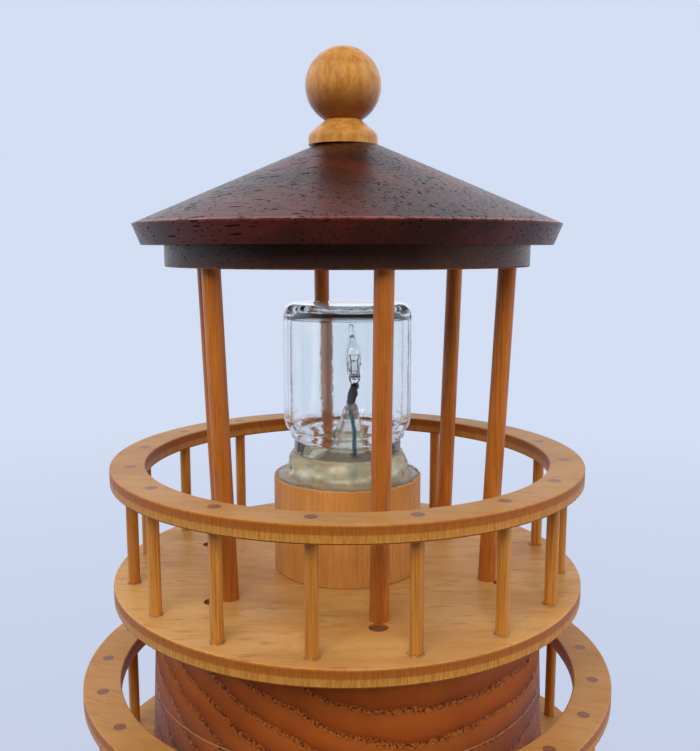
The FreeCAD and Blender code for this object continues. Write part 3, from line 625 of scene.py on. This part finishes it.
def make_bulb_wrap():
    """Kinked black wrap round the joint between the leads and the wires."""
    outline = [(0, 91.8), (1.5, 91.9), (2.4, 93.0), (2.3, 95), (2.6, 97.5), (2.3, 100), (2.4, 102),
               (1.9, 103.6), (1.0, 104.1), (0, 104.1)]
    base = leaning_base(1.4, 92.5, WRAP_LEAN[0])
    wrap = turn("bulb_wrap", outline, base, 32, lumps=0.9, lump_size=2.4, lean=WRAP_LEAN)
    stand_for(wrap, "bulb_sleeve", "tower", black_sleeve())


def make_bulb():
    """Miniature bulb over its wrap, a little off the jar's axis."""
    base = leaning_base(4.0, 107, BULB_LEAN[0])
    make_bulb_glass(base)
    make_bulb_leads(base)
    make_bulb_wrap()


def make_wires():
    """Two wires from the sleeve down through the tower and out under the base."""
    top = Vector((0, 0, DECK_TOP))
    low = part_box("lamp_wires")[0].z / MM - DECK_TOP / MM
    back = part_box("lamp_wires")[1].y / MM
    routes = []
    for side in (-0.5, 0.5):
        upper = [(1.4, 0, 93.5), (1.6, -2.6, 90), (2.4, -5.6, 86), (3.3, -7.4, 81), (4.0, -8.6, 77),
                 (3.6, -10.0, 72), (4.2, -11.2, 66), (3.6, -10.4, 61), (2.6, -5.0, 55), (1.8, -2.0, 50)]
        route = [(across + side, along, height) for across, along, height in upper]
        lower = [(0, 45), (0, -200), (0, low + 12), (0.6, low + 2), (8, low + 0.6), (20, low + 0.6),
                 (back, low + 0.6)]
        route += [(BULB_OFFSET + side, along, height) for along, height in lower]
        routes.append(route)
    wires = tube("bent_wires", routes, 0.55, top)
    stand_for(wires, "lamp_wires", "tower", wire_plastic())


# Scene

def paint(node, material):
    """Give every face of a CAD node one material."""
    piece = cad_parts[node]
    if not piece.material_slots:
        piece.data.materials.append(material)
    for holder in piece.material_slots:
        holder.material = material


def paint_cad():
    """Give every CAD node that shows its material."""
    tower = tower_wood()
    baluster = dowel("baluster_wood", tone(206, 142, 60), tone(160, 94, 30), tone(112, 62, 20))
    post = dowel("post_wood", tone(196, 117, 43), tone(150, 80, 26), tone(90, 43, 14))
    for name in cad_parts:
        if name.startswith("tower_board"):
            paint(name, tower)
        elif "baluster" in name:
            paint(name, baluster)
        elif name.startswith("roof_post"):
            paint(name, post)
    for index, name in enumerate(("upper_deck", "upper_rail", "lower_deck", "lower_rail")):
        paint(name, plywood(name, grain_turn=7.0 * index, stain=0.35 if "rail" in name else 0.0))
    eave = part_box("roof_cone")[0].z / MM + EAVE_HEIGHT
    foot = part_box("roof_plate")[0].z / MM
    paint("roof_cone", roof_wood("roof_wood", tone(84, 28, 15), tone(40, 15, 10), 0.26, 1.0, eave))
    paint("roof_plate", roof_wood("roof_plate_wood", tone(84, 52, 42), tone(58, 38, 31), 0.18, 0.45, foot))
    paint("finial", finial_wood())
    paint("lamp_pedestal", pedestal_wood())
    paint("base_plinth", plinth_wood())
    paint("base_felt", green_felt())
    paint("cord_grommet", black_rubber())


def make_floor():
    """Pale floor that fades into the backdrop's colour away from the object."""
    bpy.ops.mesh.primitive_circle_add(vertices=128, radius=FLOOR_RADIUS, fill_type="TRIFAN")
    floor = bpy.context.object
    floor.name = "floor"
    shade = Shade("pale_floor", Roughness=0.8)
    direct = shade.seen_directly()
    distance = shade.vector("LENGTH", shade.place)
    far = shade.node("ShaderNodeMapRange",
                     {"Value": distance, "From Min": FAR_FADE[0], "From Max": FAR_FADE[1]})
    glow_colour = shade.mix(far.outputs["Result"], BACKDROP_LOW, BACKDROP)
    glow = shade.node("ShaderNodeEmission", {"Color": glow_colour})
    behind = shade.step(shade.split(shade.place)["Y"], *BEHIND_FADE)
    glowing = shade.maths("MAXIMUM", behind, direct)
    share = shade.maths("MULTIPLY", glowing, shade.step(distance, *NEAR_FADE))
    shade.feed(shade.mix(direct, FLOOR_IN_REFLECTIONS, FLOOR), shade.shader.inputs["Base Color"])
    surfaces = {"Fac": share, 1: shade.shader.outputs[0], 2: glow.outputs[0]}
    both = shade.node("ShaderNodeMixShader", surfaces)
    shade.feed(both.outputs[0], shade.tree.nodes["Material Output"].inputs["Surface"])
    floor.data.materials.append(shade.material)


def make_world():
    """Soft light from all round, weaker from the front, above and below; a plain pale backdrop."""
    world = bpy.data.worlds.new("studio")
    bpy.context.scene.world = world
    world.use_nodes = True
    studio = Nodes(world.node_tree)
    parts = studio.split(studio.node("ShaderNodeTexCoord").outputs["Generated"])
    from_front = studio.step(parts["Y"], -0.75, -0.25, 0.06, 1.2)
    from_above = studio.step(parts["Z"], 0.72, 0.84, 1.0, 0.06)
    from_below = studio.step(parts["Z"], -0.25, 0.02, 0.3, 1.0)
    level = studio.maths("MULTIPLY", studio.maths("MULTIPLY", from_front, from_above), from_below)
    light = studio.mix(1.0, SKY, level, "MULTIPLY")
    background = studio.tree.nodes["Background"]
    background.inputs["Strength"].default_value = 1.0
    studio.feed(studio.mix(studio.seen_directly(), light, BACKDROP), background.inputs["Color"])


def add_softbox(name, place, aim, size, power, colour):
    """Soft rectangular lamp, left out of reflections."""
    light = bpy.data.lights.new(name, "AREA")
    light.shape = "RECTANGLE"
    light.size, light.size_y = size
    light.energy = power
    light.color = colour
    lamp = bpy.data.objects.new(name, light)
    lamp.location = place
    lamp.rotation_euler = (Vector(aim) - Vector(place)).to_track_quat("-Z", "Y").to_euler()
    lamp.visible_glossy = False
    bpy.context.scene.collection.objects.link(lamp)


def make_camera():
    """Camera in front of the lantern, looking slightly down."""
    data = bpy.data.cameras.new("camera")
    data.lens = LENS
    data.sensor_width = SENSOR_WIDTH
    camera = bpy.data.objects.new("camera", data)
    camera.location = (0, -CAMERA_DISTANCE, DECK_TOP + CAMERA_ABOVE_DECK)
    camera.rotation_euler = (math.pi / 2 - CAMERA_TILT, 0, CAMERA_TURN)
    bpy.context.scene.collection.objects.link(camera)
    bpy.context.scene.camera = camera


def set_view():
    """Plain colours, and enough bounces for light through the jar's thick glass."""
    scene = bpy.context.scene
    scene.view_settings.view_transform = "Standard"
    scene.view_settings.look = "None"
    scene.cycles.use_denoising = True
    scene.cycles.max_bounces = 24
    scene.cycles.glossy_bounces = 16
    scene.cycles.transmission_bounces = 24


paint_cad()
make_jar()
make_glue(hot_glue("hot_glue", 0.16, 1.25, 0.85), hot_glue("wire_glue", 0.16, 1.1, 0.15))
make_foot_glue()
make_bulb()
make_wires()
make_floor()
make_world()
lantern = (0, 0, DECK_TOP)
add_softbox("front_softbox", (-0.3, -1.3, DECK_TOP + 1.1), lantern, (1.4, 1.0), 24, (1, 0.97, 0.93))
add_softbox("side_softbox", (1.1, -0.5, DECK_TOP - 0.1), lantern, (0.8, 0.8), 4, (1, 0.86, 0.7))
add_softbox("top_softbox", (0, 0.1, DECK_TOP + 1.5), lantern, (1.6, 1.6), 6, (1, 0.98, 0.96))
make_camera()
set_view()
